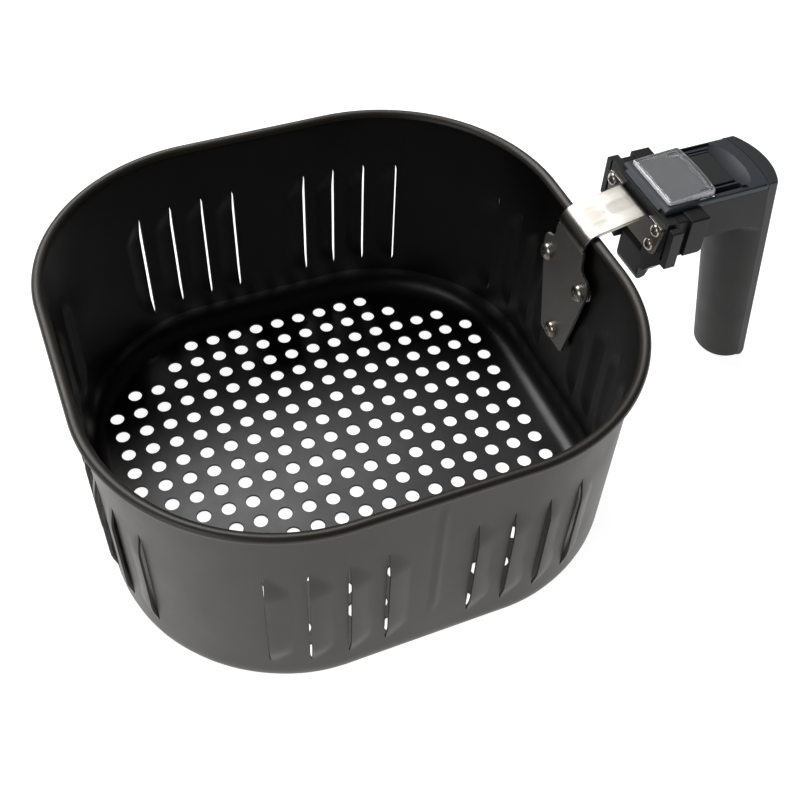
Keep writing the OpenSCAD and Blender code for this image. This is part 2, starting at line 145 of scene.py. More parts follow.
def fillet(poly, r, n=4):
    out, m = [], len(poly)
    for i in range(m):
        p0, p1, p2 = (Vector(poly[(i + k) % m][:2]) for k in (-1, 0, 1))
        ri = r[i] if isinstance(r, (list, tuple)) else r
        a, b = p0 - p1, p2 - p1
        la, lb = a.length, b.length
        if la < 1e-9 or lb < 1e-9:
            continue
        a, b = a / la, b / lb
        ang = a.angle(b)
        if ri <= 0 or ang > pi - 0.05:
            out.append((p1.x, p1.y))
            continue
        t = min(ri / math.tan(ang / 2), 0.46 * la, 0.46 * lb)
        rr = t * math.tan(ang / 2)
        c = p1 + (a + b).normalized() * (rr / math.sin(ang / 2))
        s, e = p1 + a * t, p1 + b * t
        a0 = math.atan2(s.y - c.y, s.x - c.x)
        a1 = math.atan2(e.y - c.y, e.x - c.x)
        d = (a1 - a0 + pi) % (2 * pi) - pi
        for k in range(n + 1):
            w = a0 + d * k / n
            out.append((c.x + rr * math.cos(w), c.y + rr * math.sin(w)))
    return out


def inset(poly, d):
    if abs(d) < 1e-9:
        return list(poly)
    out, m = [], len(poly)
    for i in range(m):
        p0, p1, p2 = (Vector(poly[(i + k) % m]) for k in (-1, 0, 1))
        u, v = (p1 - p0), (p2 - p1)
        if u.length < 1e-9 or v.length < 1e-9:
            out.append(tuple(p1))
            continue
        u, v = u.normalized(), v.normalized()
        n1, n2 = Vector((-u.y, u.x)), Vector((-v.y, v.x))
        k = max(0.35, 1 + n1.dot(n2))
        q = p1 + (n1 + n2) / k * d
        out.append((q.x, q.y))
    return out


def loft(name, rings, cap=True, sharp=32.0, close=False):
    n = len(rings[0])
    verts = [p for r in rings for p in r]
    faces = []
    last = len(rings) if close else len(rings) - 1
    for k in range(last):
        for i in range(n):
            j = (i + 1) % n
            k2 = (k + 1) % len(rings)
            faces.append([k * n + i, k * n + j, k2 * n + j, k2 * n + i])
    if cap and not close:
        faces.append(list(range(n)))
        faces.append([(len(rings) - 1) * n + i for i in range(n)])
    return make(name, verts, faces, sharp=sharp)


def side(p, d):       # profile (outwards, up), d across
    return (d, -p[0], p[1])


def front(p, d):      # profile (across, up), d outwards
    return (p[0], -d, p[1])


def plan(p, d):       # profile (across, outwards), d up
    return (p[0], -p[1], d)


def rprism(name, poly, lo, hi, to3, e=0.3, rc=0.0, seg=3, e2=None, n=4):
    poly = ccw(poly)
    e2 = e if e2 is None else e2
    if rc:
        lim = 1.2 * max(e, e2)
        rc = [0.0 if r <= 0 else max(r, lim) for r in rc] if isinstance(rc, (list, tuple)) else max(rc, lim)
        poly = fillet(poly, rc, n)
    rings = []
    if e > 0:
        for k in range(seg + 1):
            a = pi / 2 * k / seg
            rings.append([to3(p, lo + e * (1 - math.cos(a))) for p in inset(poly, e * (1 - math.sin(a)))])
    else:
        rings.append([to3(p, lo) for p in poly])
    if e2 > 0:
        for k in range(seg, -1, -1):
            a = pi / 2 * k / seg
            rings.append([to3(p, hi - e2 * (1 - math.cos(a))) for p in inset(poly, e2 * (1 - math.sin(a)))])
    else:
        rings.append([to3(p, hi) for p in poly])
    return loft(name, rings)


def lathe(name, prof, at, n=40, axis="v", sharp=32.0):
    """prof is [(radius, height)], from one end on the axis to the other"""
    verts, faces, ring = [], [], []
    x, v, z = at
    for r, h in prof:
        if r < 1e-6:
            ring.append([len(verts)])
            verts.append((x, -(v + h), z) if axis == "v" else (x, -v, z + h))
            continue
        idx = []
        for i in range(n):
            a = 2 * pi * i / n
            c, s = r * math.cos(a), r * math.sin(a)
            idx.append(len(verts))
            verts.append((x + c, -(v + h), z + s) if axis == "v" else (x + c, -(v + s), z + h))
        ring.append(idx)
    for a, b in zip(ring, ring[1:]):
        for i in range(n):
            j = (i + 1) % n
            if len(a) == 1 and len(b) == 1:
                continue
            if len(a) == 1:
                faces.append([a[0], b[i], b[j]])
            elif len(b) == 1:
                faces.append([a[i], a[j], b[0]])
            else:
                faces.append([a[i], a[j], b[j], b[i]])
    if len(ring[0]) > 1 and len(ring[-1]) > 1:      # a ring section: close it
        a, b = ring[-1], ring[0]
        for i in range(n):
            j = (i + 1) % n
            faces.append([a[i], a[j], b[j], b[i]])
    return make(name, verts, faces, sharp=sharp)


def weighted(o):
    m = o.modifiers.new("normals", "WEIGHTED_NORMAL")
    m.keep_sharp = True
    m.weight = 60
    return o


# ---------------------------------------------------------------- materials --
def new_mat(name):
    m = bpy.data.materials.new(name)
    m.use_nodes = True
    nt = m.node_tree
    nt.nodes.clear()
    out = nt.nodes.new("ShaderNodeOutputMaterial")
    b = nt.nodes.new("ShaderNodeBsdfPrincipled")
    nt.links.new(b.outputs[0], out.inputs[0])
    co = nt.nodes.new("ShaderNodeTexCoord")
    return m, nt, b, co


def noise(nt, co, scale, detail=2.0, rough=0.5, stretch=None):
    n = nt.nodes.new("ShaderNodeTexNoise")
    n.inputs["Scale"].default_value = scale
    n.inputs["Detail"].default_value = detail
    n.inputs["Roughness"].default_value = rough
    if stretch:
        mp = nt.nodes.new("ShaderNodeMapping")
        mp.inputs["Scale"].default_value = stretch
        nt.links.new(co.outputs["Object"], mp.inputs["Vector"])
        nt.links.new(mp.outputs[0], n.inputs["Vector"])
    else:
        nt.links.new(co.outputs["Object"], n.inputs["Vector"])
    return n.outputs["Fac"]


def ramp(nt, fac, lo, hi, a, b):
    m = nt.nodes.new("ShaderNodeMapRange")
    m.inputs["From Min"].default_value = lo
    m.inputs["From Max"].default_value = hi
    m.inputs["To Min"].default_value = a
    m.inputs["To Max"].default_value = b
    nt.links.new(fac, m.inputs["Value"])
    return m.outputs[0]


def math_node(nt, op, a, b):
    m = nt.nodes.new("ShaderNodeMath")
    m.operation = op
    for i, v in enumerate((a, b)):
        if isinstance(v, (int, float)):
            m.inputs[i].default_value = v
        else:
            nt.links.new(v, m.inputs[i])
    return m.outputs[0]


def mix_col(nt, fac, a, b):
    m = nt.nodes.new("ShaderNodeMix")
    m.data_type = "RGBA"
    if isinstance(fac, (int, float)):
        m.inputs[0].default_value = fac
    else:
        nt.links.new(fac, m.inputs[0])
    m.inputs[6].default_value = (*a, 1)
    m.inputs[7].default_value = (*b, 1)
    return m.outputs[2]


def bump(nt, b, height, dist, strength=1.0, prev=None):
    n = nt.nodes.new("ShaderNodeBump")
    n.inputs["Strength"].default_value = strength
    n.inputs["Distance"].default_value = dist
    nt.links.new(height, n.inputs["Height"])
    if prev is not None:
        nt.links.new(prev, n.inputs["Normal"])
    nt.links.new(n.outputs[0], b.inputs["Normal"])
    return n.outputs[0]


def nonstick(name, lo, hi, rough, spec):
    m, nt, b, co = new_mat(name)
    cloud = noise(nt, co, 45, 4, 0.6)
    grain = noise(nt, co, 1900, 2, 0.6)
    wave = noise(nt, co, 16, 1, 0.4)
    nt.links.new(mix_col(nt, cloud, lo, hi), b.inputs["Base Color"])
    r = ramp(nt, cloud, 0.3, 0.7, rough - 0.04, rough + 0.04)
    nt.links.new(math_node(nt, "ADD", r, math_node(nt, "MULTIPLY", grain, 0.05)), b.inputs["Roughness"])
    n1 = bump(nt, b, wave, 0.0006, 0.35)
    bump(nt, b, grain, 0.00006, 0.55, n1)
    b.inputs["Specular IOR Level"].default_value = spec
    return m


def plastic(name, col, rough, spec=0.5, grain=2600.0, tint=0.16, depth=0.00006):
    m, nt, b, co = new_mat(name)
    cloud = noise(nt, co, 70, 3, 0.6)
    g = noise(nt, co, grain, 3, 0.65)
    lo = tuple(c * (1 - tint) for c in col)
    hi = tuple(c * (1 + tint) for c in col)
    nt.links.new(mix_col(nt, cloud, lo, hi), b.inputs["Base Color"])
    r = ramp(nt, cloud, 0.3, 0.7, rough - 0.04, rough + 0.04)
    nt.links.new(math_node(nt, "ADD", r, math_node(nt, "MULTIPLY", g, 0.06)), b.inputs["Roughness"])
    bump(nt, b, g, depth, 0.7)
    b.inputs["Specular IOR Level"].default_value = spec
    return m


def steel(name, col, rough=0.26, brush=(5200.0, 55.0, 55.0), smudge=0.5, aniso=0.55, dark=0.8):
    m, nt, b, co = new_mat(name)
    lines = noise(nt, co, 1.0, 4, 0.7, brush)
    fine = noise(nt, co, 1.0, 2, 0.6, tuple(k * 2.3 for k in brush))
    cloud = noise(nt, co, 75, 5, 0.62)
    lo = tuple(c * dark for c in col)
    f = math_node(nt, "MULTIPLY", math_node(nt, "ADD", lines, cloud), 0.5)
    nt.links.new(mix_col(nt, ramp(nt, f, 0.34, 0.64, 0.0, 1.0), lo, col), b.inputs["Base Color"])
    r = ramp(nt, cloud, 0.34, 0.68, rough, rough + 0.24 * smudge)
    nt.links.new(math_node(nt, "ADD", r, math_node(nt, "MULTIPLY", lines, 0.10)), b.inputs["Roughness"])
    n1 = bump(nt, b, lines, 0.00004, 0.35)
    bump(nt, b, fine, 0.00002, 0.3, n1)
    b.inputs["Metallic"].default_value = 1.0
    b.inputs["Anisotropic"].default_value = aniso
    return m


def clear():
    m, nt, b, co = new_mat("clear_guard")
    g = noise(nt, co, 160, 2, 0.5)
    s = noise(nt, co, 1.0, 3, 0.6, (900.0, 90.0, 90.0))
    nt.links.new(mix_col(nt, g, (0.93, 0.95, 0.98), (0.98, 0.985, 1.0)), b.inputs["Base Color"])
    nt.links.new(ramp(nt, s, 0.35, 0.75, 0.03, 0.10), b.inputs["Roughness"])
    bump(nt, b, g, 0.00004, 0.10)
    b.inputs["Transmission Weight"].default_value = 0.92
    b.inputs["IOR"].default_value = 1.49
    b.inputs["Specular IOR Level"].default_value = 0.5
    return m


# One nonstick coating in three copies: the two inside copies are painted shade, darker than the outside, and the wall
# copy is darkest.
M_COAT = nonstick("nonstick_outside", (0.0225, 0.0184, 0.0132), (0.0325, 0.0270, 0.0200), 0.40, 0.47)
M_COAT_IN_PAINTED_SHADE = nonstick("nonstick_inside_painted_shade", (0.0066, 0.0072, 0.0066), (0.0096, 0.0102, 0.0094), 0.33, 0.45)
M_COAT_WALL_PAINTED_SHADE = nonstick("nonstick_wall_painted_shade", (0.0016, 0.0018, 0.0016), (0.0028, 0.0030, 0.0027), 0.35, 0.20)
M_STRAP = steel("strap_steel", (0.50, 0.475, 0.435), 0.27, smudge=0.22)
# The plate steel is the strap's own sheet, painted darker as shade on its upright faces.
M_PLATE_PAINTED_SHADE = steel("plate_steel_painted_shade", (0.30, 0.29, 0.275), 0.34, smudge=0.75)
M_SCREW = steel("screw_steel", (0.60, 0.55, 0.48), 0.20, brush=(1500.0, 1500.0, 1500.0), smudge=0.3, aniso=0.0)
M_ZINC = steel("zinc_steel", (0.42, 0.42, 0.43), 0.32, brush=(1500.0, 1500.0, 1500.0), smudge=0.6, aniso=0.0)
M_SPRING = steel("spring_steel", (0.60, 0.60, 0.58), 0.22, brush=(300.0, 3000.0, 3000.0), aniso=0.2)
M_BODY = plastic("handle_plastic", (0.0140, 0.0138, 0.0130), 0.47, spec=0.25)
M_FRONT = plastic("front_plate_plastic", (0.0180, 0.0190, 0.0200), 0.45, spec=0.28)
# Blue-grey panel plastic: partly the panel's own colour, partly a painted blue reflection of the sky on the handle's
# top.
M_PANEL_PAINTED_REFLECTION = plastic("panel_plastic", (0.0400, 0.0460, 0.0570), 0.44, spec=0.36)
M_COVER = plastic("cover_plastic", (0.0360, 0.0375, 0.0410), 0.46, spec=0.34)
M_BUTTON = plastic("button_plastic", (0.0230, 0.0275, 0.0260), 0.40, spec=0.34)
M_LEVER = plastic("lever_plastic", (0.0140, 0.0150, 0.0150), 0.44, spec=0.3)
M_CLEAR = clear()


# A whiter, less clear copy of the guard's plastic for its upright edges: a painted highlight.
def clear_edge_painted_highlight():
    m, nt, b, co = new_mat("clear_guard_edge_painted_highlight")
    g = noise(nt, co, 260, 3, 0.5)
    nt.links.new(mix_col(nt, g, (0.86, 0.85, 0.92), (0.95, 0.95, 0.99)), b.inputs["Base Color"])
    nt.links.new(ramp(nt, g, 0.3, 0.7, 0.22, 0.38), b.inputs["Roughness"])
    bump(nt, b, g, 0.0001, 0.3)
    b.inputs["Transmission Weight"].default_value = 0.30
    b.inputs["IOR"].default_value = 1.49
    return m


M_EDGE_PAINTED_HIGHLIGHT = clear_edge_painted_highlight()


def give(o, mat):
    o.data.materials.clear()
    o.data.materials.append(mat)
    return o


def piece(o, node, mat, body="basket", norm=True):
    give(o, mat)
    if norm:
        weighted(o)
    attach(o, body)
    if node:
        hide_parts(node)
    return o


# -------------------------------------------------------------------- stage --
def stage():
    me = bpy.data.meshes.new("floor")
    s, z = 6.0, -0.0002
    me.from_pydata([(-s, -s, z), (s, -s, z), (s, s, z), (-s, s, z)], [], [(0, 1, 2, 3)])
    o = bpy.data.objects.new("floor", me)
    bpy.context.scene.collection.objects.link(o)
    m, nt, b, co = new_mat("floor_paper")
    g = noise(nt, co, 6, 2, 0.5)
    nt.links.new(mix_col(nt, g, (0.55, 0.55, 0.55), (0.58, 0.58, 0.58)), b.inputs["Base Color"])
    b.inputs["Roughness"].default_value = 0.9
    b.inputs["Specular IOR Level"].default_value = 0.1
    b.inputs["Emission Color"].default_value = (1, 1, 1, 1)
    b.inputs["Emission Strength"].default_value = 0.95
    o.data.materials.append(m)
    w = bpy.data.worlds.new("studio")
    bpy.context.scene.world = w
    w.use_nodes = True
    w.node_tree.nodes["Background"].inputs[0].default_value = (1.0, 1.0, 1.0, 1)
    w.node_tree.nodes["Background"].inputs[1].default_value = 0.05

    def area(name, at, to, sx, sy, power, col=(1, 1, 1)):
        l = bpy.data.lights.new(name, "AREA")
        l.shape = "RECTANGLE"
        l.size, l.size_y = sx, sy
        l.energy = power
        l.color = col
        ob = bpy.data.objects.new(name, l)
        bpy.context.scene.collection.objects.link(ob)
        d = (Vector(to) - Vector(at)).normalized()
        ob.matrix_world = Matrix.Translation(at) @ d.to_track_quat("-Z", "Y").to_matrix().to_4x4()
        return ob
    area("softbox_top", (0.92, -0.02, 1.25), (0, -0.03, 0.02), 0.7, 0.7, 11)
    area("softbox_side", (0.97, 0.60, 1.2), (0, -0.05, 0.02), 0.5, 0.5, 8)
    area("softbox_back", (1.15, -1.15, 1.25), (0, -0.15, 0.11), 0.8, 0.8, 1.4)
    area("softbox_left", (-0.5, 0.95, 0.55), (0, 0, 0.06), 0.6, 0.6, 3)


stage()
try:
    bpy.context.scene.view_settings.view_transform = "Standard"
except TypeError:
    pass

# ------------------------------------------------------------------- basket --
WX, WY, RC = 102.1, 105.7, 73.5
CX, CY = WX - RC, WY - RC
QUART = RC * pi / 2
SEG = [2 * CY, QUART, 2 * CX, QUART, 2 * CY, QUART, 2 * CX, QUART]
TOTAL = sum(SEG)


def on_wall(s):
    """point and outward normal at distance s round the wall, anticlockwise from (WX, -CY)"""
    s %= TOTAL
    for i, l in enumerate(SEG):
        if s <= l or i == 7:
            break
        s -= l
    if i == 0:
        return WX, -CY + s, 1.0, 0.0
    if i == 2:
        return CX - s, WY, 0.0, 1.0
    if i == 4:
        return -WX, CY - s, -1.0, 0.0
    if i == 6:
        return -CX + s, -WY, 0.0, -1.0
    a = (i // 2) * pi / 2 + s / RC
    c = {1: (CX, CY), 3: (-CX, CY), 5: (-CX, -CY), 7: (CX, -CY)}[i]
    return c[0] + RC * math.cos(a), c[1] + RC * math.sin(a), math.cos(a), math.sin(a)


Z0, Z1, Z1_SHORT, OUT = 18.6, 77.4, 66.0, 1.95
EDGE = 3.4            # the open edge lies this far before the louvre's middle
MIDS = [CY, 2 * CY + QUART + CX, 2 * CY + QUART + 2 * CX + QUART + CY,
        2 * CY + QUART + 2 * CX + QUART + 2 * CY + QUART + CX]
louvres = []          # (edge position, top, side that the hood lies on)
for k, mid in enumerate(MIDS):
    half = CY if k % 2 == 0 else CX
    way = -1 if k == 1 else 1
    for n, t in enumerate((17.0, 31.4, 45.9, 60.5)):
        d = t if t < half else half + RC * math.asin((t - half) / RC)
        for sgn in (1, -1):
            louvres.append(((mid + sgn * d - way * EDGE + (1.2 if k == 2 else 0.0)) % TOTAL, Z1_SHORT if k == 3 and n == 0 else Z1, way))
louvres.sort()


def ease(x):
    x = max(0.0, min(1.0, x))
    return x * x * (3 - 2 * x)


def hood(t, z, top):
    if t < 0 or t >= 8.7 or z <= Z0 or z >= top:
        return 0.0
    end = ease((z - Z0) / 11.0) ** 0.8 * ease((top - z) / 13.0) ** 0.8
    wide = 8.7 * (0.3 + 0.7 * end)
    if t >= wide:
        return 0.0
    return OUT * end * (1 - (t / wide) ** 2) ** 1.25


def gap_at(z, top):
    return 0.6 * (ease((z - Z0) / 3.0) * ease((top - z) / 3.0)) ** 0.6


RIB = MIDS[2] + 0.3    # pressed rib in the middle of the wall opposite the handle's right


def rib(s, z):
    d = (s - RIB + TOTAL / 2) % TOTAL - TOTAL / 2
    if abs(d) > 5:
        return 0.0
    end = ease((z - 27) / 8) * ease((96 - z) / 8)
    lean = (z - 60) * 0.012
    return 0.62 * end * math.exp(-((d - lean) / 1.35) ** 2) - 0.22 * end * math.exp(-((d - lean + 2.6) / 1.3) ** 2)


def relief(s, z, near=None):
    h = rib(s, z)
    for e, top, way in louvres:
        t = ((s - e + TOTAL / 2) % TOTAL - TOTAL / 2) * way
        if near == e:
            continue
        if 0 <= t < 8.7:
            h += hood(t, z, top)
    return h


def build_basket():
    cols = []
    for e, top, way in louvres:
        cols.append((e, way, top))
        for d in (0.3, 0.7, 1.3, 2.0, 2.8, 3.7, 4.7, 5.7, 6.7, 7.7, 8.7, 9.4):
            cols.append(((e + way * d) % TOTAL, 0, 0))
        for d in (1.25, 1.9, 2.8):
            cols.append(((e - way * d) % TOTAL, 0, 0))
    for d in (-4.5, -3.6, -2.8, -2.1, -1.4, -0.7, 0.0, 0.7, 1.4, 2.1, 2.8, 3.6):
        cols.append(((RIB + d) % TOTAL, 0, 0))
    cols.sort()
    full = []
    for k, c in enumerate(cols):
        full.append(c)
        nxt = cols[(k + 1) % len(cols)][0] + (TOTAL if k == len(cols) - 1 else 0)
        gap = nxt - c[0]
        m = int(math.ceil(gap / 2.6))
        for i in range(1, m):
            full.append(((c[0] + gap * i / m) % TOTAL, 0, 0))
    cols = full
    n = len(cols)
    zs = [12.0, 13.6, 15.4, 17.2, Z0, 19.4, 20.3, 21.3, 22.4, 23.8, 25.6, 28, 31, 35, 39, 43, 47, 51, 54.6, 57.6, 60.0,
          61.6, 62.8, 63.9, 64.9, Z1_SHORT, 67.4, 69.0, 70.6, 72.2, 73.4, 74.5, 75.6, 76.6, Z1, 78.6, 80.4, 83, 86, 89, 92, 95, 97.5, 100, 102.5]
    prof = []           # (offset, z, wall row or None)
    for i in range(10):
        a = (pi / 2) * i / 10
        prof.append((-10.3 + 10.3 * math.sin(a), 12 - 12 * math.cos(a), None))
    for r, z in enumerate(zs):
        prof.append((0.0, z, ("o", r)))
    br, bz = 1.8, 103.4
    for i in range(27):
        a = math.radians(196 + 254 * i / 26)
        prof.append((1.7 + br * math.cos(a), bz + br * math.sin(a), None))
    for i in range(1, 8):
        a = math.radians(90 + 90 * i / 8)
        prof.append((1.7 + 2.7 * math.cos(a), 102.5 + 2.7 * math.sin(a), None))
    for r in range(len(zs) - 1, -1, -1):
        prof.append((-1.0, zs[r], ("i", r)))
    for i in range(9, -1, -1):
        a = (pi / 2) * i / 10
        prof.append((-10.3 + 9.3 * math.sin(a), 12 - 11 * math.cos(a), None))
    pitch, hr, lip = 11.0, 3.1, 0.22
    half = lambda j: {8: 4, 7: 5, 6: 7}.get(abs(j), 8)
    holes = [(j * pitch, i * pitch) for j in range(-8, 9) for i in range(-half(j), half(j) + 1)]

    # the base fillet is tighter where a hole comes near a corner
    def reach(s):
        x, y, nx, ny = on_wall(s)
        r = 10.3
        for hx, hy in holes:
            dx, dy = x - hx, y - hy
            t = dx * nx + dy * ny
            off2 = dx * dx + dy * dy - t * t
            if off2 < 13.7 and t < 20:
                r = min(r, t - math.sqrt(13.7 - off2))
        return r

    m = int(TOTAL)
    raw = [reach(TOTAL * i / m) for i in range(m)]
    low = [min(raw[(i + w) % m] for w in range(-9, 10)) for i in range(m)]
    soft = [sum(low[(i + w) % m] for w in range(-7, 8)) / 15 for i in range(m)]

    def foot(s):
        t = (s % TOTAL) / TOTAL * m
        i = int(t)
        return soft[i % m] * (1 - t + i) + soft[(i + 1) % m] * (t - i)

    verts, left, rightc = [], [], []
    rows = {}
    for p, (off, z, w) in enumerate(prof):
        if w:
            rows[w] = p
    for s, split, top in cols:
        x, y, nx, ny = on_wall(s)
        la, lb = [], []
        fr = foot(s)
        for p, (off, z, w) in enumerate(prof):
            d = 0.0
            if p < 10:
                off = off * fr / 10.3
            elif p >= len(prof) - 10:
                off = -1.0 + (off + 1.0) * (fr - 1.0) / 9.3
            if w:
                base = relief(s, z, s if split else None)
                d = base
            verts.append((x + (off + d) * nx, y + (off + d) * ny, z))
            la.append(len(verts) - 1)
            if split and w and Z0 < z < top:
                d2 = base + hood(0.0, z, top)
                verts.append((x + (off + d2) * nx, y + (off + d2) * ny, z))
                lb.append(len(verts) - 1)
                # the cut edge of the flat side stands back from the hood's lip
                g = gap_at(z, top)
                xa, ya, na, nb = on_wall(s - split * g)
                verts[la[-1]] = (xa + (off + d) * na, ya + (off + d) * nb, z)
                if split < 0:
                    la[-1], lb[-1] = lb[-1], la[-1]
            else:
                lb.append(len(verts) - 1)
        left.append(la)
        rightc.append(lb)
    faces = []
    for k in range(n):
        a, b = rightc[k], left[(k + 1) % n]
        for p in range(len(prof) - 1):
            faces.append([a[p], b[p], b[p + 1], a[p + 1]])
    for k, (s, split, top) in enumerate(cols):
        if not split:
            continue
        for r in range(len(zs) - 1):
            o0, o1, i0, i1 = rows[("o", r)], rows[("o", r + 1)], rows[("i", r)], rows[("i", r + 1)]
            la, lb = left[k], rightc[k]
            if la[o0] == lb[o0] and la[o1] == lb[o1]:
                continue
            for c in (la, lb):
                faces.append([c[o0], c[o1], c[i1], c[i0]])
    # the floor, with its holes, on both faces
    top_ring = [left[k][len(prof) - 1] for k in range(n)]
    bot_ring = [left[k][0] for k in range(n)]
    hn = 28
    for ring, z, zin in ((top_ring, 1.0, 0.82), (bot_ring, 0.0, 0.18)):
        pts = [Vector((verts[i][0], verts[i][1])) for i in ring]
        ids = list(ring)
        edges = [(i, (i + 1) % len(pts)) for i in range(len(pts))]
        rims = []
        for hx, hy in holes:
            start, rim = len(pts), []
            for q in range(hn):
                a = 2 * pi * q / hn
                px, py = hx + (hr + lip) * math.cos(a), hy + (hr + lip) * math.sin(a)
                pts.append(Vector((px, py)))
                verts.append((px, py, z))
                ids.append(len(verts) - 1)
                rim.append(len(verts) - 1)
                edges.append((start + q, start + (q + 1) % hn))
            rims.append(rim)
        vo, eo, fo, ov, oe, of_ = delaunay_2d_cdt(pts, edges, [], 1, 1e-5)
        back_to = [ids[o[0]] if len(o) else None for o in ov]
        for f in fo:
            cxy = sum((vo[i] for i in f), Vector((0, 0))) / len(f)
            j, i = round(cxy.x / pitch), round(cxy.y / pitch)
            if abs(j) <= 8 and abs(i) <= half(j):
                if (cxy - Vector((j * pitch, i * pitch))).length < hr + lip - 0.02:
                    continue
            if any(back_to[q] is None for q in f):
                continue
            faces.append([back_to[q] for q in f])
        inner = []
        for (hx, hy), rim in zip(holes, rims):
            ring2 = []
            for q in range(hn):
                a = 2 * pi * q / hn
                verts.append((hx + hr * math.cos(a), hy + hr * math.sin(a), zin))
                ring2.append(len(verts) - 1)
            for q in range(hn):
                w = (q + 1) % hn
                faces.append([rim[q], rim[w], ring2[w], ring2[q]])
            inner.append(ring2)
        if z == 1.0:
            keep = inner
    for a, b in zip(keep, inner):
        for q in range(hn):
            w = (q + 1) % hn
            faces.append([a[q], a[w], b[w], b[q]])
    o = make("basket_shell_pressed", verts, faces, sharp=33.0, weld=0)
    # the three screw holes in the handle side
    for x, z in ((-13.85, 80.2), (13.85, 80.2), (0.0, 45.5)):
        c = lathe("c", [(0, 0), (2.15, 0), (2.15, 8), (0, 8)], (x, WY - 4, z), n=28)
        boolean(o, c)
    reshade(o, 33.0, weld=1e-6)
    return o


def inside(p):
    """true where a face of the basket's sheet is on the food's side"""
    c, n = p.center, p.normal
    if c.z > 0.1029:
        return False
    if c.z < 0.0125 and abs(n.z) > 0.2:
        return n.z > 0
    x, y = c.x / MM, c.y / MM
    ax, ay = max(0.0, abs(x) - CX), max(0.0, abs(y) - CY)
    if ax > 0 and ay > 0:
        d = Vector((math.copysign(ax, x), math.copysign(ay, y)))
    elif abs(x) - CX > abs(y) - CY:
        d = Vector((x, 0.0))
    else:
        d = Vector((0.0, y))
    return n.x * d.x + n.y * d.y < -0.25 * d.length


basket = build_basket()
piece(basket, "basket_shell", M_COAT, norm=False)
basket.data.materials.append(M_COAT_IN_PAINTED_SHADE)
basket.data.materials.append(M_COAT_WALL_PAINTED_SHADE)
# Faces on the food's side take the darker copies: painted shade on the floor and fillet, darker painted shade on the
# walls.
for f in basket.data.polygons:
    f.material_index = 0 if not inside(f) else 1 if f.center.z < 0.0118 else 2

# ------------------------------------------------------------------ bracket --
PLATE_IN, T = 101.3, 1.5
DROP = 129.3
FACE = DROP + T
HW = 10.4
B_HOLES = [(-13.85, 80.2), (13.85, 80.2), (0.0, 45.5)]
P_HOLES = [(17.4, 109.0), (15.4, 100.4)]


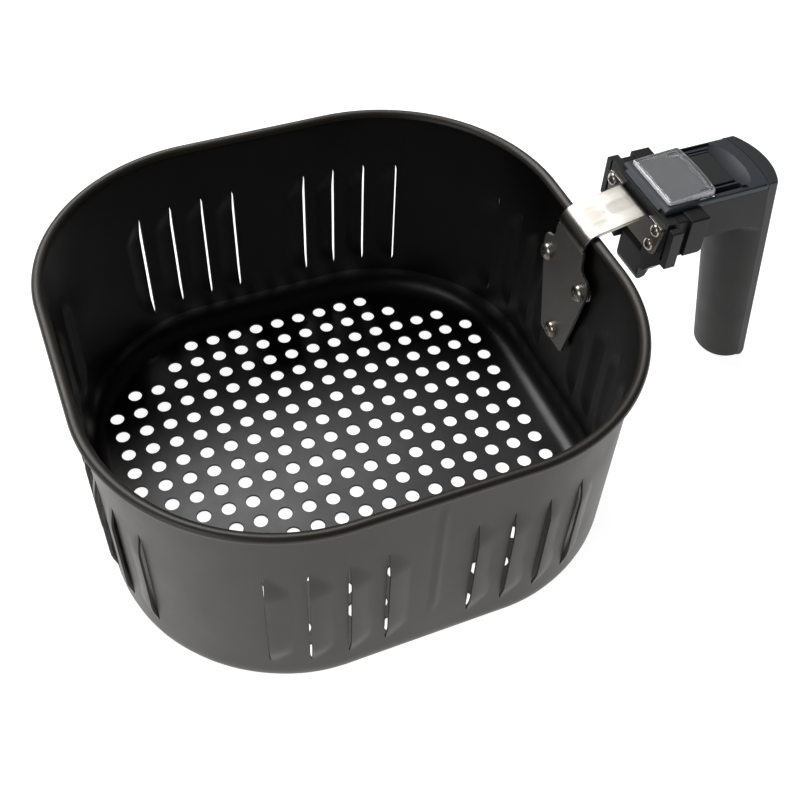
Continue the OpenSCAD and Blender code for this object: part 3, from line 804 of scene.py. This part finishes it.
def build_bracket():
    # centre line of the sheet, as (v, z, normal v, normal z, half width)
    outline = fillet([(0, 39.5), (9.3, 39.5), (14.1, 61.5), (17.6, 77.5), (18.6, 82), (18.6, 85.6), (17.2, 88), (14.2, 89), (12.2, 90.2),
                      (11.2, 92.5), (11.0, 97.5), (10.4, 99.6), (0, 99.6)], [0, 1.8, 6, 6, 2.5, 2.2, 1.6, 1.5, 2.0, 2.5, 3, 2, 0], 6)
    outline = [p for p in outline if 0.1 < p[0]]
    path = []
    mid = PLATE_IN + T / 2
    zs = []
    for w, z in outline:
        if not zs or z > zs[-1][1] + 0.02:
            zs.append((w, z))
    # thin out and add rows on the long straights
    rows = [zs[0]]
    for a, b in zip(zs, zs[1:]):
        m = max(1, int(math.ceil((b[1] - a[1]) / 3.0)))
        for i in range(1, m + 1):
            rows.append((a[0] + (b[0] - a[0]) * i / m, a[1] + (b[1] - a[1]) * i / m))
    for w, z in rows:
        path.append((mid, z, -1.0, 0.0, w))
    bc, rm, slope = (108.7, 100.2), 5.9 + T / 2, math.radians(11.6)
    for i in range(0, 19):
        a = pi - (pi / 2 - slope) * i / 18
        if i == 0:
            continue
        path.append((bc[0] + rm * math.cos(a), bc[1] + rm * math.sin(a), math.cos(a), math.sin(a), HW))
    low0 = (bc[0] + 5.9 * math.cos(pi / 2 + slope), bc[1] + 5.9 * math.sin(pi / 2 + slope))
    r2 = 1.4
    oc = (DROP - r2, low0[1] + (DROP - r2 - low0[0]) * math.tan(slope) - r2 / math.cos(slope))
    p0 = path[-1]
    end = (oc[0] + (r2 + T / 2) * math.cos(pi / 2 + slope), oc[1] + (r2 + T / 2) * math.sin(pi / 2 + slope))
    nv, nz = math.cos(pi / 2 + slope), math.sin(pi / 2 + slope)
    for i in range(1, 9):
        path.append((p0[0] + (end[0] - p0[0]) * i / 9, p0[1] + (end[1] - p0[1]) * i / 9, nv, nz, HW))
    for i in range(0, 10):
        a = pi / 2 + slope - (pi / 2 + slope) * i / 9
        path.append((oc[0] + (r2 + T / 2) * math.cos(a), oc[1] + (r2 + T / 2) * math.sin(a), math.cos(a), math.sin(a), HW))
    path.append((DROP + T / 2, 105.0, 1.0, 0.0, HW))
    e = 0.22
    # cross-section, as (fraction of half width, inset, side)
    rings = []
    for k, (v, z, nv, nz, w) in enumerate(path):
        strap = 1.0 if 96 < z and v < DROP + 0.5 else 0.0
        if v <= mid + 1e-6:
            strap = ease((z - 88) / 10)
        ring = []
        xs = [-1 + 2 * i / 24 for i in range(25)]

        def rise(x):
            if strap <= 0 or w > 12:
                return 0.0
            u = (x / HW) * 1.5            # three lengthwise lands
            u -= round(u)
            return 0.13 * strap * (1 - 4 * u * u) - 0.09 * strap

        def pt(x, h):
            return (x, -(v + nv * h), z + nz * h)
        for f in xs:                       # outer face, left to right
            x = f * (w - e)
            ring.append(pt(x, T / 2 + rise(x)))
        for i in range(1, 4):
            a = pi / 2 - (pi / 2) * i / 3
            ring.append(pt(w - e + e * math.cos(a), T / 2 - e + e * math.sin(a) + rise(w - e)))
        for i in range(0, 4):
            a = -(pi / 2) * i / 3
            ring.append(pt(w - e + e * math.cos(a), -T / 2 + e + e * math.sin(a)))
        for f in reversed(xs[:-1]):
            x = f * (w - e)
            ring.append(pt(x, -T / 2 + rise(x) * 0.0))
        for i in range(1, 4):
            a = -pi / 2 - (pi / 2) * i / 3
            ring.append(pt(-(w - e) + e * math.cos(a), -T / 2 + e + e * math.sin(a)))
        for i in range(0, 3):
            a = pi - (pi / 2) * i / 3
            ring.append(pt(-(w - e) + e * math.cos(a), T / 2 - e + e * math.sin(a) + rise(w - e)))
        rings.append(ring)
    o = loft("bracket_sheet", rings, sharp=40)
    d = rprism("d", both([(17.2, 96.2), (18.4, 97.2), (21.3, 110.4), (20.5, 111.4), (10.6, 111.4), (10.2, 109.0)]), DROP, FACE, front, e=0.2, rc=0.9, seg=2)
    boolean(o, d, "UNION")
    for x, z in B_HOLES:
        boolean(o, lathe("c", [(0, 0), (2.15, 0), (2.15, 6), (0, 6)], (x, PLATE_IN - 2, z), n=24))
    for s in (1, -1):
        for x, z in P_HOLES:
            boolean(o, lathe("c", [(0, 0), (1.6, 0), (1.6, 6), (0, 6)], (s * x, DROP - 2, z), n=24))
    reshade(o, 40)
    return o


bracket = build_bracket()
piece(bracket, "handle_bracket", M_STRAP)
bracket.data.materials.append(M_PLATE_PAINTED_SHADE)
# Upright faces of the shield plate and the drop plate take the darker steel: painted shade.
for f in bracket.data.polygons:
    f.material_index = 1 if abs(f.normal.z) < 0.45 and (f.center.z < 0.0985 or f.center.y < -0.1262) else 0


def pan_screw(name, at, hd, hh, sd, length, turn, thread=0.0):
    r = hd / 2
    prof = [(0, -hh)]
    for i in range(1, 9):
        a = math.radians(90 * i / 8)
        prof.append((r * (0.62 * math.sin(a) + 0.38 * (i / 8) ** 0.8), -hh + hh * 0.66 * (1 - math.cos(a)) ** 1.1))
    prof += [(r, -0.12 * hh), (r - 0.08, 0.0), (sd / 2, 0.0)]
    h = 0.6
    if thread:
        while h < length - 0.9:
            prof += [(sd / 2, h), (sd / 2 - 0.22, h + thread / 2)]
            h += thread
    prof += [(sd / 2, length - 0.6), (sd / 2 - 0.4, length), (0, length)]
    o = lathe(name, prof, (0, 0, 0), n=44, sharp=38)
    # cross recess
    for k in range(2):
        w, l, dep = 0.058 * hd, 0.27 * hd, 0.62 * hh
        rings = []
        for f, y in ((1.0, -hh - 0.4), (1.0, -hh), (0.72, -hh + dep)):
            q = [(-l * f, -w * f), (l * f, -w * f), (l * f, w * f), (-l * f, w * f)]
            a = turn + k * pi / 2
            rings.append([(p[0] * math.cos(a) - p[1] * math.sin(a), -y, p[0] * math.sin(a) + p[1] * math.cos(a)) for p in q])
        boolean(o, loft("r", rings))
    reshade(o, 34)
    for v in o.data.vertices:
        v.co += Vector((at[0] * MM, -at[1] * MM, at[2] * MM))
    return o


screws = [pan_screw("s", (x, PLATE_IN, z), 7.9, 2.9, 4.0, WY - PLATE_IN + 5.0, t, 0.7) for (x, z), t in zip(B_HOLES, (0.35, 1.1, 0.7))]
piece(join("bracket_pan_screws", screws), "bracket_screws", M_SCREW)
screws = [pan_screw("s", (s * x, DROP, z), 5.4, 1.9, 3.0, 13.0, 0.4 + 0.5 * i + s) for s in (1, -1) for i, (x, z) in enumerate(P_HOLES)]
piece(join("plate_pan_screws", screws), "plate_screws", M_SCREW)

gap = (WY - 1.0 - PLATE_IN - T)
sp = []
for x, z in B_HOLES:
    for k in range(2):
        h0, h1 = (0.0, gap / 2 - 0.1) if k == 0 else (gap / 2 + 0.1, gap)
        e = 0.18
        sp.append(lathe("sp", [(2.15, h0), (4.5 - e, h0), (4.5, h0 + e), (4.5, h1 - e), (4.5 - e, h1), (2.15, h1)], (x, PLATE_IN + T, z), n=40))
    sp.append(lathe("sp", [(2.15, gap / 2 - 0.1), (3.6, gap / 2 - 0.1), (3.6, gap / 2 + 0.1), (2.15, gap / 2 + 0.1)], (x, PLATE_IN + T, z), n=40))
piece(join("spacer_discs", sp), "bracket_spacers", M_SCREW)
wa = []
for x, z in B_HOLES:
    e = 0.15
    wa.append(lathe("wa", [(2.15, 0), (4.3 - e, 0), (4.3, e), (4.3, 0.8 - e), (4.3 - e, 0.8), (2.15, 0.8)], (x, WY + 0.02, z), n=40))
piece(join("plain_washers", wa), "nut_washers", M_SCREW)


def nut(at):
    r = 3.5 / math.cos(pi / 6)
    hexa = [(r * math.cos(pi / 3 * i), r * math.sin(pi / 3 * i)) for i in range(6)]
    o = loft("nut", [[(p[0], -h, p[1]) for p in hexa] for h in (0.0, 3.2)])
    c = lathe("c", [(0, -0.01), (3.45, -0.01), (4.3, 0.5), (4.3, 2.7), (3.45, 3.21), (0, 3.21)], (0, 0, 0), n=48)
    boolean(o, c, "INTERSECT")
    boolean(o, lathe("c", [(0, -1), (2.02, -1), (2.02, 5), (0, 5)], (0, 0, 0), n=32))
    reshade(o, 25)
    for v in o.data.vertices:
        v.co += Vector((at[0] * MM, -at[1] * MM, at[2] * MM))
    return o


piece(join("hex_nuts", [nut((x, WY + 0.82, z)) for x, z in B_HOLES]), "bracket_nuts", M_ZINC, norm=False)

# ------------------------------------------------------------------- handle --
V1, NECK, WING = 135.8, 140.3, 148.9
TOP, LEAN = 117.6, 0.195
HANDLE_HW, GRIP_HW, GZ = 16.65, 13.2, 2.6
BODY_Z = 96.5


def seam(z):
    return 181.4 + (TOP - z) * LEAN


def cyl_v(x, z, r, v0, v1, n=24):
    return lathe("c", [(0, 0), (r, 0), (r, v1 - v0), (0, v1 - v0)], (x, v0, z), n=n)


def build_front_plate():
    half = [(8.6, 96.0), (9.7, 94.6), (9.7, 82.2), (14.2, 83.8), (18.7, 90.0), (23.2, 94.9), (26.6, 94.9), (26.6, 113.5), (22.4, 113.5), (22.4, 114.8)]
    r = [0.4, 0.6, 0.8, 1.5, 2.0, 1.2, 0.7, 0.6, 0.3, 0.4]
    o = rprism("front_flange", both(half), FACE, V1, front, e=0.25, rc=r + list(reversed(r)), seg=3)
    for s in (1, -1):
        boolean(o, rprism("g", [(s * 22.8 - 0.6, 97), (s * 22.8 + 0.6, 97), (s * 22.8 + 0.6, 112), (s * 22.8 - 0.6, 112)], FACE - 1, FACE + 2.4, front, e=0))
        boolean(o, rprism("g", [(s * 22.8 - 0.6, 111.9), (s * 22.8 + 0.6, 111.9), (s * 22.8 + 0.6, 116), (s * 22.8 - 0.6, 116)], FACE - 1, V1 + 1, front, e=0))
        for x, z in P_HOLES:
            boolean(o, cyl_v(s * x, z, 1.6, FACE - 1, V1 + 1))
    back = rprism("g", [(-9.7, 90), (9.7, 90), (9.7, 104), (-9.7, 104)], FACE + 2.3, FACE + 7.3, front, e=0)
    boolean(o, back)
    reshade(o, 34)
    return o


piece(build_front_plate(), "front_plate", M_FRONT)


def grip_section(z, grow=0.0, shrink=0.0, flare=0.0, n=44, hollow=0.0):
    """D-shaped ring at height z, from the seam at -x round the front to +x, then back along the seam"""
    f = min(1.0, max(0.0, (z - GZ) / (BODY_Z - GZ)))
    hw = GRIP_HW + (HANDLE_HW - GRIP_HW) * f
    depth = 14.0 + 0.2 * f
    s = seam(z)
    pts = []
    for i in range(n + 1):
        a = pi * i / n
        c, sn = math.cos(a), math.sin(a)
        # a slightly squared D
        x = -(hw - hollow) * math.copysign(abs(c) ** 0.94, c)
        v = (depth - hollow) * abs(sn) ** 0.94
        nx, nv = -c / hw, sn / depth
        l = math.hypot(nx, nv) or 1
        x += nx / l * (flare - shrink)
        v += nv / l * (flare - shrink)
        lim = HANDLE_HW - 0.0 if flare > 0 else 99
        x = max(-lim, min(lim, x))
        pts.append((x, s - max(0.0, v)))
    return [(x, v, z) for x, v in pts]


def build_body():
    rings = []
    for k in range(5):
        a = pi / 2 * k / 4
        e = 1.7
        rings.append(grip_section(GZ + e * (1 - math.cos(a)), shrink=e * (1 - math.sin(a))))
    R = 5.0
    for z in (8, 16, 26, 38, 50, 62, 74, 84, BODY_Z - R - 1.2):
        rings.append(grip_section(z))
    for k in range(0, 9):
        a = pi / 2 * k / 8
        rings.append(grip_section(BODY_Z - R + R * math.sin(a) - 0.02, flare=R * (1 - math.cos(a)) + (0.001 if k else 0)))
    rings.append(grip_section(BODY_Z + 1.5, flare=R))
    o = loft("grip_and_housing", [[(x, -v, z) for x, v, z in r] for r in rings])
    h = rprism("h", [(WING - 1, BODY_Z), (WING - 1, 114.8), (seam(114.8), 114.8), (seam(BODY_Z), BODY_Z)], -HANDLE_HW, HANDLE_HW, side, e=0.0)
    boolean(o, h, "UNION")
    neck = rprism("n", both([(22.4, 96.2), (22.4, 114.8)]), V1 + 0.01, NECK + 0.5, front, e=0, rc=0.5)
    boolean(o, neck, "UNION")
    wing = rprism("w", both([(24.4, 97.2), (24.4, 115.6), (16.85, 115.6), (16.85, 114.8)]), NECK, WING, front, e=0.35,
                  rc=[1.0, 0.7, 0.0, 0.0, 0.0, 0.0, 0.7, 1.0], seg=3)
    for s in (1, -1):
        q = [(145.2, 97.0)] + [(145.9 + 3.0 * math.sin(a), 100.2 - 3.0 * math.cos(a)) for a in (pi / 14 * i for i in range(8))] + [(149.0, 104), (150.5, 104), (150.5, 96), (145.2, 96)]
        a, b = sorted((s * 17.0, s * 25.5))
        boolean(wing, rprism("q", q, a, b, side, e=0))
    boolean(o, wing, "UNION")
    # hollow housing, head and grip
    boolean(o, rprism("c", [(WING - 3, 99.2), (WING - 3, 118), (seam(118) + 1, 118), (seam(99.2) + 1, 99.2)], -(HANDLE_HW - 2.3), HANDLE_HW - 2.3, side, e=0))
    boolean(o, rprism("c", both([(20.4, 99.6), (20.4, 111.4), (HANDLE_HW - 2.3, 112.8), (HANDLE_HW - 2.3, 118)]), V1 - 1, WING - 2.5, front, e=0))
    boolean(o, rprism("c", both([(9.7, 90), (9.7, 104)]), V1 - 1, 147, front, e=0))
    inner = [[(x, -v - 0.06, z) for x, v, z in grip_section(zz, hollow=2.6)] for zz in (GZ + 3.4, 40, 98.6)]
    boolean(o, loft("c", inner))
    for s in (1, -1):
        # small ejector mark on the housing's side
        m = lathe("m", [(0, 0), (0.55, 0), (0.55, 4), (0, 4)], (0, 0, 0), n=20)
        for v in m.data.vertices:
            x, y, z = v.co
            v.co = (y * -1.0 * s, x - 153.2 * MM, z + 109.3 * MM)
            v.co.x += s * (HANDLE_HW - 0.25) * MM
        boolean(o, m)
    for s in (1, -1):
        for x, z in P_HOLES:
            boolean(o, cyl_v(s * x, z, 1.52, V1 - 1, V1 + 13))
    reshade(o, 34)
    return o


piece(build_body(), "handle_body", M_BODY)


BTN0, BTN1 = 155.0, 169.05


def tongue(z0, z1, grow, e, x=HANDLE_HW - 0.02):
    """the part of the top panel that bows back over the cover"""
    r = (HANDLE_HW ** 2 + 2.3 ** 2) / 4.6
    c = 181.25 + 2.3 - r
    pts = [(-x, 180.4), (x, 180.4)]
    for i in range(33):
        q = x - 2 * x * i / 32
        pts.append((q, max(180.9, c + math.sqrt((r + grow) ** 2 - q * q))))
    return rprism("t", pts, z0, z1, plan, e=0.0, e2=e, seg=2)


def build_panel():
    # cross-section with soft top edges, cut to the side profile
    x = HANDLE_HW
    sec = [(-x, 114.9), (x, 114.9), (x, TOP), (-x, TOP)]
    o = rprism("top_cover_panel", sec, FACE + 0.4, 183.0, front, e=0.0, rc=[0.0, 0.0, 0.9, 0.9], n=6)
    prof = [(FACE + 0.4, 114.9), (FACE + 0.4, 115.6), (FACE + 2.2, 117.1), (FACE + 4, TOP + 0.001), (181.25, TOP + 0.001), (seam(115) - 0.15, 115.0), (FACE + 4.4, 115.0), (FACE + 4.4, 114.9)]
    boolean(o, rprism("i", prof, -x - 1, x + 1, side, e=0.0, rc=[0.0, 0.5, 0.9, 1.4, 0.0, 0.0, 0.0, 0.0]), "INTERSECT")
    boolean(o, tongue(115.0, TOP, 0.0, 0.12), "UNION")
    boolean(o, rprism("c", [(-10.65, BTN0 - 0.5), (10.65, BTN0 - 0.5), (10.65, BTN1 + 0.9), (-10.65, BTN1 + 0.9)], 100, 130, plan, e=0, rc=1.8))
    for s in (1, -1):
        a, b = sorted((s * 11.5, s * 13.5))
        boolean(o, rprism("c", [(a, 150.0), (b, 150.0), (b, 170.6), (a, 170.6)], 100, 130, plan, e=0, rc=0.3))
        # track for the guard's side, and the notch at the front lip's corner
        a, b = sorted((s * 13.3, s * 15.6))
        boolean(o, rprism("c", [(a, 135.8), (b, 135.8), (b, 172.4), (a, 172.4)], TOP - 1.0, 130, plan, e=0, rc=0.35))
        a, b = sorted((s * 13.2, s * 18.2))
        boolean(o, rprism("c", [(a, FACE - 1), (b, FACE - 1), (b, FACE + 1.5), (a, FACE + 1.5)], 114, 119, plan, e=0))
    # thumb scoop behind the button
    rings = []
    for i in range(41):
        h = -13.6 + 27.2 * i / 40
        r = 12.8 - h * h / 123.2
        rings.append([(h, -(172.3 + r * math.cos(2 * pi * k / 160)), TOP + 11.2 + r * math.sin(2 * pi * k / 160)) for k in range(160)])
    boolean(o, loft("scoop", rings))
    parts = [o]
    for s in (1, -1):
        parts.append(lathe("b", [(1.12, 0), (2.8, 0), (2.8, 3.5), (1.12, 3.5)], (s * 7.6, 146, 111.6), n=28, axis="z"))
        parts.append(rprism("b", [(172, 112.8), (178.5, 112.8), (178.5, 115.2), (172, 115.2)], s * 13.4 - 0.4, s * 13.4 + 0.4, side, e=0.1))
    parts.append(lathe("b", [(1.27, 0), (3.0, 0), (3.0, 6.7), (1.27, 6.7)], (0, 177.2, 108.4), n=28, axis="z"))
    o = join("top_cover_panel", parts)
    reshade(o, 30)
    return o


piece(build_panel(), "top_panel", M_PANEL_PAINTED_REFLECTION)


def cover_section(z, n=28, gr=0.0, wall=0.0):
    f = min(1.0, max(0.0, (z - GZ) / (TOP - GZ)))
    hw = GRIP_HW + (HANDLE_HW - GRIP_HW) * f - gr
    low = max(0.0, 1 - (z - GZ) / 3.0)
    edge, bow = 3.6 + 0.8 * f - gr * 0.6 - 1.2 * low, 4.4 + 0.4 * f - 0.2 * low
    s = seam(z)
    r = (hw * hw + bow * bow) / (2 * bow)
    pts = [(-hw, s + 0.15), (hw, s + 0.15)]
    a0 = math.asin(hw / r)
    arc = []
    for i in range(n + 1):
        a = a0 - 2 * a0 * i / n
        arc.append((r * math.sin(a), s + edge + bow - r + r * math.cos(a) - gr * 0.4))
    # round the two outer corners
    poly = fillet([pts[0], pts[1], arc[0], arc[2]] + arc[3:-3] + [arc[-3], arc[-1]], [0.0, 0.0, 1.1] + [0] * (n - 4 + 1) + [1.1], 4)
    return poly


def build_cover():
    rings = []
    e = 0.9
    zs = []
    for k in range(5):
        a = pi / 2 * k / 4
        zs.append((GZ + e * (1 - math.cos(a)), e * (1 - math.sin(a))))
    for z in (4.6, 5.6, 8, 20, 40, 60, 80, 100, 112):
        zs.append((z, 0.0))
    e2 = 0.45
    for k in range(4, -1, -1):
        a = pi / 2 * k / 4
        zs.append((TOP - e2 * (1 - math.cos(a)), e2 * (1 - math.sin(a))))
    for z, g in zs:
        base = ccw(cover_section(z))
        rings.append([(p[0], -p[1], z) for p in inset(base, g)])
    o = loft("rear_grip_cover", rings, sharp=30)
    boolean(o, tongue(114.85, TOP + 1, 0.18, 0.0, 18.0))
    # hollow it towards the seam
    inner = []
    for z in (GZ + 2.5, 60, TOP - 2.6):
        f = (z - GZ) / (TOP - GZ)
        hw = GRIP_HW + (HANDLE_HW - GRIP_HW) * f - 2.3
        edge, bow = 3.6 + 0.8 * f, 4.4 + 0.4 * f
        s = seam(z)
        r = ((hw + 2.3) ** 2 + bow * bow) / (2 * bow)
        poly = [(-hw, s - 1), (hw, s - 1)]
        r2 = r - 2.3
        for i in range(13):
            x = hw - 2 * hw * i / 12
            poly.append((x, s + edge + bow - r + math.sqrt(r2 * r2 - x * x)))
        inner.append([(p[0], -p[1], z) for p in poly])
    boolean(o, loft("c", inner))
    ear = rprism("e", [(-5, 173.4), (5, 173.4), (5, seam(106) + 6), (-5, seam(106) + 6)], 105.4, 108.0, plan, e=0.2)
    boss = rprism("e", [(-4, seam(8.4) - 9), (4, seam(8.4) - 9), (4, seam(8.4) + 5), (-4, seam(8.4) + 5)], 6.3, 13.3, plan, e=0.2)
    boolean(o, ear, "UNION")
    boolean(o, boss, "UNION")
    boolean(o, lathe("c", [(0, 0), (1.6, 0), (1.6, 10), (0, 10)], (0, 177.2, 100), n=24, axis="z"))
    reshade(o, 30)
    return o


piece(build_cover(), "rear_cover", M_COVER)


def build_button():
    x = 9.9
    o = rprism("release_push_button", [(-x, BTN0), (x, BTN0), (x, BTN1), (-x, BTN1)], 112.4, 118.0, plan, e=0.0, e2=0.45, rc=1.4, seg=4)
    boolean(o, rprism("c", [(-x + 1.6, BTN0 + 1.6), (x - 1.6, BTN0 + 1.6), (x - 1.6, BTN1 - 1.6), (-x + 1.6, BTN1 - 1.6)], 111, 116.2, plan, e=0))
    sk = rprism("s", [(-11.3, BTN0 - 1.5), (11.3, BTN0 - 1.5), (11.3, BTN1 + 1.5), (-11.3, BTN1 + 1.5)], 112.4, 113.8, plan, e=0.2, rc=1.0)
    boolean(sk, rprism("c", [(-x + 1.6, BTN0 + 1.6), (x - 1.6, BTN0 + 1.6), (x - 1.6, BTN1 - 1.6), (-x + 1.6, BTN1 - 1.6)], 111, 117, plan, e=0))
    boolean(o, sk, "UNION")
    st = lathe("s", [(0, 0), (0.7, 0), (1.0, 0.4), (1.0, 1.7), (2.5, 1.7), (2.5, 8.9), (0, 8.9)], (0, 162, 107.5), n=28, axis="z")
    boolean(o, st, "UNION")
    boolean(o, rprism("r", [(-8.9, 161.2), (8.9, 161.2), (8.9, 162.8), (-8.9, 162.8)], 112.4, 116.6, plan, e=0), "UNION")
    reshade(o, 30)
    return o


piece(build_button(), "release_button", M_BUTTON, "button")


def build_guard():
    """hollow clear cap with a gently bowed rear edge, its two feet in the panel's slots"""
    hw = 14.8

    def cap(name, x, v0, v1, bow, z0, zf, zr, lipf, lipr, rc):
        pts = [(-x, v0), (x, v0), (x, v1)]
        for i in range(1, 12):
            u = 1 - 2 * i / 12
            pts.append((x * u, v1 + bow * (1 - u * u)))
        pts.append((-x, v1))
        pts = fillet(ccw(pts), [rc, rc, rc] + [0] * 11 + [rc], 5)

        def height(v):
            return zf + (zr - zf) * max(0.0, min(1.0, (v - v0) / (v1 - v0)))
        rings = [[(p[0], -p[1], z0) for p in pts]]
        e = 0.5
        for k in range(5):
            a = pi / 2 * k / 4
            q = inset(pts, lipf * (1 - math.cos(a)) if k else 0.0)
            rings.append([(p[0], -p[1], max(z0 + 0.1, height(p[1]) - e + e * math.sin(a))) for p in q])
        return loft(name, rings, sharp=40)
    o = cap("clear_slide_guard", hw, 134.75, 156.2, 1.05, 117.75, 119.25, 120.45, 0.7, 0.7, 1.1)
    i = cap("i", hw - 1.2, 136.4, 154.9, 1.0, 117.0, 118.35, 119.45, 0.3, 0.3, 0.6)
    boolean(o, i)
    parts = []
    for s in (1, -1):
        a, b = sorted((s * 13.6, s * 14.8))
        k = rprism("k", [(136.2, TOP - 0.85), (156.2, TOP - 0.85), (156.2, TOP + 0.6), (136.2, TOP + 0.6)], a, b, side, e=0.1)
        boolean(o, k, "UNION")
        a, b = sorted((s * 11.85, s * 13.05))
        f = rprism("f", [(150.4, 112.6), (156.4, 112.6), (156.4, 119.4), (150.4, 119.4)], a, b, side, e=0.12)
        a, b = sorted((s * 11.85, s * 14.05))
        h = rprism("f", [(150.4, 112.6), (156.4, 112.6), (156.4, 114.6), (150.4, 114.6)], a, b, side, e=0.12)
        boolean(f, h, "UNION")
        boolean(o, f, "UNION")
    # plain straight thumb ridges near the rear edge
    for k in range(4):
        v = 146.6 + 2.0 * k
        zt = 119.25 + (120.45 - 119.25) * (v - 134.75) / 21.45
        r = rprism("r", [(v - 0.22, zt - 0.25), (v + 0.22, zt - 0.25), (v + 0.12, zt + 0.04), (v - 0.12, zt + 0.04)], -6.5, 6.5, side, e=0.05, seg=1)
        boolean(o, r, "UNION")
    reshade(o, 30)
    return o


guard = build_guard()
piece(guard, "button_guard", M_CLEAR, "guard")
guard.data.materials.append(M_EDGE_PAINTED_HIGHLIGHT)
# Upright rim faces of the guard take the whiter edge material: painted highlight.
for f in guard.data.polygons:
    rim = max(abs(f.center.x) - 13.5 * MM, 135.9 * MM + f.center.y, -f.center.y - 155.3 * MM) > 0
    f.material_index = 1 if rim and abs(f.normal.z) < 0.985 and f.center.z > 117.6 * MM else 0


def build_lever():
    t = [(132.6, 75.6), (132.6, 88), (137.4, 96.6), (141.4, 99.4), (141.4, 96), (139.2, 90), (139.2, 77.6), (137.6, 73.4), (135.0, 72.4), (133.4, 73.2)]
    o = rprism("latch_tongue_lever", t, -8.4, 8.4, side, e=0.6, rc=[0.5, 2.5, 1.5, 0.3, 0.8, 2.0, 1.0, 1.2, 1.0, 0.8], seg=4)
    arm = [(137.4, 96.6), (139.6, 103.4), (142.4, 108.2), (146, 109.2), (149.2, 107.6), (165.4, 107.2), (165.4, 104.4), (150.4, 104.2), (147.4, 102.4), (141.4, 98.0)]
    boolean(o, rprism("a", arm, -5, 5, side, e=0.3, rc=0.5), "UNION")
    pad = lathe("p", [(0, -10), (2.2, -10), (2.2, 10), (0, 10)], (0, 0, 0), n=40)
    for v in pad.data.vertices:
        x, y, z = v.co
        v.co = (y, x - 146 * MM, z + 106 * MM)
    boolean(o, pad, "UNION")
    bore = lathe("p", [(0, -14), (1.55, -14), (1.55, 14), (0, 14)], (0, 0, 0), n=40)
    for v in bore.data.vertices:
        x, y, z = v.co
        v.co = (y, x - 146 * MM, z + 106 * MM)
    boolean(o, bore)
    reshade(o, 32)
    return o


piece(build_lever(), "latch_lever", M_LEVER, "lever")

# the CAD nodes that stay, with finished materials
for n, m in (("cover_screws", M_ZINC), ("lever_bracket", M_ZINC), ("bracket_top_screws", M_ZINC), ("lever_pin", M_SPRING),
             ("pin_clips", M_ZINC), ("latch_spring", M_SPRING)):
    give(NODES[n], m)

bpy.context.view_layer.update()
